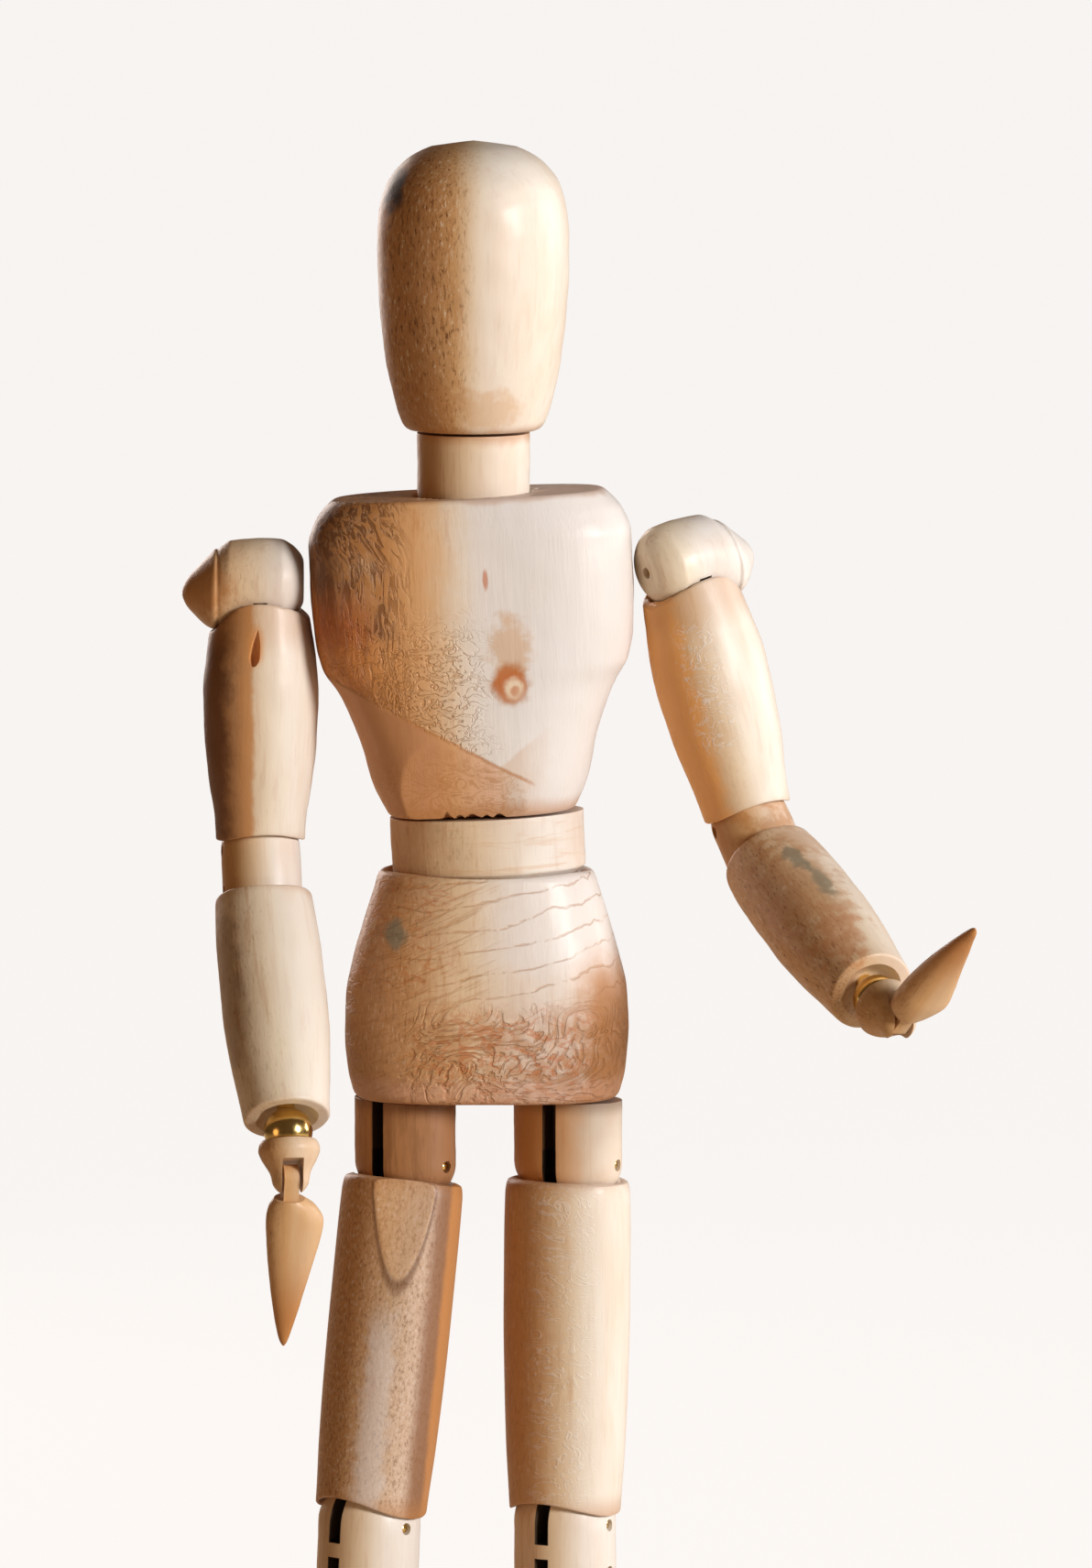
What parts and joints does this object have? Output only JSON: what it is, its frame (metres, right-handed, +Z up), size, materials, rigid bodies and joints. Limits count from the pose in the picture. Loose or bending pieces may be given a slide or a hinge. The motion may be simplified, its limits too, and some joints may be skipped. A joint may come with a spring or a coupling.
{
  "type": "artist mannequin",
  "caption": "Jointed wooden artist's figure with an egg-shaped head, barrel limbs and link-block joints, on a round stand with a bent steel rod.",
  "frame": {"origin": "centre of the round stand's underside", "axes": "+Z up; the figure faces -Y; +X is the figure's left, on the viewer's right"},
  "size_m": [0.0794, 0.0726, 0.2087],
  "materials": {
    "pale_wood": "satin varnish",
    "warm_wood": "satin varnish",
    "brass": "polished",
    "steel": "brushed"
  },
  "bodies": {
    "stand_and_pelvis": {"base": "pale_wood", "support_rod": "steel", "pelvis": "warm_wood"},
    "waist": {"waist": "pale_wood", "spine_spring": "steel"},
    "chest": {"chest": "warm_wood", "shoulder_spring": "steel"},
    "neck": {"neck": "pale_wood", "neck_spring": "steel"},
    "head": {"head": "warm_wood"},
    "right_shoulder": {"right_shoulder": "warm_wood", "right_shoulder_pin": "brass"},
    "right_upper_arm": {"right_upper_arm": "pale_wood", "right_shoulder_tongue": "brass", "right_elbow_upper_tongue": "brass"},
    "right_elbow": {"right_elbow_block": "pale_wood", "right_elbow_upper_pin": "brass", "right_elbow_lower_pin": "brass"},
    "right_forearm": {"right_forearm": "pale_wood", "right_elbow_lower_tongue": "brass", "right_wrist_ball": "brass"},
    "right_wrist": {"right_wrist": "pale_wood"},
    "right_hand": {"right_hand": "pale_wood"},
    "left_shoulder": {"left_shoulder": "warm_wood", "left_shoulder_pin": "brass"},
    "left_upper_arm": {"left_upper_arm": "pale_wood", "left_shoulder_tongue": "brass", "left_elbow_upper_tongue": "brass"},
    "left_elbow": {"left_elbow_block": "pale_wood", "left_elbow_upper_pin": "brass", "left_elbow_lower_pin": "brass"},
    "left_forearm": {"left_forearm": "pale_wood", "left_elbow_lower_tongue": "brass", "left_wrist_ball": "brass"},
    "left_wrist": {"left_wrist": "pale_wood"},
    "left_hand": {"left_hand": "pale_wood"},
    "right_hip": {"right_hip_block": "pale_wood", "right_hip_pin": "brass"},
    "right_thigh": {"right_thigh": "pale_wood", "right_hip_tongue": "brass", "right_knee_upper_tongue": "brass"},
    "right_knee": {"right_knee_block": "pale_wood", "right_knee_upper_pin": "brass", "right_knee_lower_pin": "brass"},
    "right_shin": {"right_shin": "pale_wood", "right_knee_lower_tongue": "brass"},
    "right_ankle": {"right_ankle_ball": "pale_wood"},
    "right_foot": {"right_foot": "warm_wood"},
    "left_hip": {"left_hip_block": "pale_wood", "left_hip_pin": "brass"},
    "left_thigh": {"left_thigh": "pale_wood", "left_hip_tongue": "brass", "left_knee_upper_tongue": "brass"},
    "left_knee": {"left_knee_block": "pale_wood", "left_knee_upper_pin": "brass", "left_knee_lower_pin": "brass"},
    "left_shin": {"left_shin": "pale_wood", "left_knee_lower_tongue": "brass"},
    "left_ankle": {"left_ankle_ball": "pale_wood"},
    "left_foot": {"left_foot": "warm_wood"}
  },
  "joints": [
    {"name": "waist_tilt", "type": "hinge", "parent": "stand_and_pelvis", "child": "waist", "pos_m": [0, 0, 0.14227], "axis": [0.999, 0, 0.0454], "range_deg": [-12, 12]},
    {"name": "chest_turn", "type": "hinge", "parent": "waist", "child": "chest", "pos_m": [0, 0, 0.14227], "axis": [-0.0454, 0, 0.999], "range_deg": [-30, 30]},
    {"name": "neck_tilt", "type": "hinge", "parent": "chest", "child": "neck", "pos_m": [-0.00126, 0, 0.17436], "axis": [1, 0, 0], "range_deg": [-20, 20]},
    {"name": "head_turn", "type": "hinge", "parent": "neck", "child": "head", "pos_m": [-0.00126, 0, 0.18006], "axis": [0, 0, 1], "range_deg": [-80, 80]},
    {"name": "right_shoulder_raise", "type": "hinge", "parent": "chest", "child": "right_shoulder", "pos_m": [-0.0223, 0, 0.165], "axis": [0, 1, 0], "range_deg": [0, 85]},
    {"name": "right_shoulder_swing", "type": "hinge", "parent": "right_shoulder", "child": "right_upper_arm", "pos_m": [-0.0223, 0, 0.165], "axis": [-1, 0, 0.0052], "range_deg": [-45, 45]},
    {"name": "right_elbow_upper", "type": "hinge", "parent": "right_upper_arm", "child": "right_elbow", "pos_m": [-0.02244, 0, 0.1382], "axis": [-0.9826, -0.1857, 0.0051], "range_deg": [-20, 26]},
    {"name": "right_elbow_lower", "type": "hinge", "parent": "right_elbow", "child": "right_forearm", "pos_m": [-0.02222, -0.00128, 0.1342], "axis": [-0.9826, -0.1857, 0.0051], "range_deg": [-20, 26]},
    {"name": "right_wrist_bend", "type": "hinge", "parent": "right_forearm", "child": "right_wrist", "pos_m": [-0.01939, -0.01687, 0.11235], "axis": [-0.9826, -0.1857, 0.0051], "range_deg": [-31, 69]},
    {"name": "right_hand_bend", "type": "hinge", "parent": "right_wrist", "child": "right_hand", "pos_m": [-0.01917, -0.01816, 0.10804], "axis": [-0.9826, -0.1857, 0.0051], "range_deg": [-25, 83]},
    {"name": "left_shoulder_raise", "type": "hinge", "parent": "chest", "child": "left_shoulder", "pos_m": [0.01935, 0, 0.16689], "axis": [0, -1, 0], "range_deg": [-9, 73]},
    {"name": "left_shoulder_swing", "type": "hinge", "parent": "left_shoulder", "child": "left_upper_arm", "pos_m": [0.01935, 0, 0.16689], "axis": [0.8373, 0.5, 0.2212], "range_deg": [-45, 15]},
    {"name": "left_elbow_upper", "type": "hinge", "parent": "left_upper_arm", "child": "left_elbow", "pos_m": [0.0262, 0, 0.14098], "axis": [-0.9195, -0.309, -0.2429], "range_deg": [-32, 14]},
    {"name": "left_elbow_lower", "type": "hinge", "parent": "left_elbow", "child": "left_forearm", "pos_m": [0.02776, -0.002, 0.13763], "axis": [-0.9195, -0.309, -0.2429], "range_deg": [-32, 14]},
    {"name": "left_wrist_bend", "type": "hinge", "parent": "left_forearm", "child": "left_wrist", "pos_m": [0.03819, -0.02424, 0.12642], "axis": [-0.8886, -0.453, 0.0716], "range_deg": [-52, 48]},
    {"name": "left_hand_bend", "type": "hinge", "parent": "left_wrist", "child": "left_hand", "pos_m": [0.03997, -0.02799, 0.1247], "axis": [-0.8886, -0.453, 0.0716], "range_deg": [-114, 5]},
    {"name": "right_hip_turn", "type": "hinge", "parent": "stand_and_pelvis", "child": "right_hip", "pos_m": [-0.0081, 0, 0.10689], "axis": [0, 0, -1], "range_deg": [-42, 18]},
    {"name": "right_hip_flex", "type": "hinge", "parent": "right_hip", "child": "right_thigh", "pos_m": [-0.0081, 0, 0.10689], "axis": [0.7431, -0.6691, 0], "range_deg": [-17, 27]},
    {"name": "right_knee_upper", "type": "hinge", "parent": "right_thigh", "child": "right_knee", "pos_m": [-0.01168, -0.00398, 0.07109], "axis": [0.7431, -0.6691, 0], "range_deg": [-5, 38]},
    {"name": "right_knee_lower", "type": "hinge", "parent": "right_knee", "child": "right_shin", "pos_m": [-0.01187, -0.00419, 0.0664], "axis": [0.7431, -0.6691, 0], "range_deg": [-5, 38]},
    {"name": "right_ankle_turn", "type": "hinge", "parent": "right_shin", "child": "right_ankle", "pos_m": [-0.01121, -0.00345, 0.02841], "axis": [-0.0175, -0.0195, 0.9997], "range_deg": [-30, 30]},
    {"name": "right_ankle_bend", "type": "hinge", "parent": "right_ankle", "child": "right_foot", "pos_m": [-0.01121, -0.00345, 0.02841], "axis": [-0.7431, 0.6691, 0], "range_deg": [-20, 25]},
    {"name": "left_hip_turn", "type": "hinge", "parent": "stand_and_pelvis", "child": "left_hip", "pos_m": [0.0081, 0, 0.10689], "axis": [0, 0, 1], "range_deg": [-5, 68]},
    {"name": "left_hip_flex", "type": "hinge", "parent": "left_hip", "child": "left_thigh", "pos_m": [0.0081, 0, 0.10689], "axis": [-0.8829, 0.4695, 0], "range_deg": [-21, 42]},
    {"name": "left_knee_upper", "type": "hinge", "parent": "left_thigh", "child": "left_knee", "pos_m": [0.0078, -0.00056, 0.07069], "axis": [0.8829, -0.4695, 0], "range_deg": [-1, 44]},
    {"name": "left_knee_lower", "type": "hinge", "parent": "left_knee", "child": "left_shin", "pos_m": [0.0078, -0.00056, 0.06599], "axis": [0.8829, -0.4695, 0], "range_deg": [-1, 44]},
    {"name": "left_ankle_turn", "type": "hinge", "parent": "left_shin", "child": "left_ankle", "pos_m": [0.00811, 0.00003, 0.028], "axis": [-0.0082, -0.0154, 0.9998], "range_deg": [-30, 30]},
    {"name": "left_ankle_bend", "type": "hinge", "parent": "left_ankle", "child": "left_foot", "pos_m": [0.00811, 0.00003, 0.028], "axis": [-0.8829, 0.4695, 0], "range_deg": [-20, 25]}
  ]
}
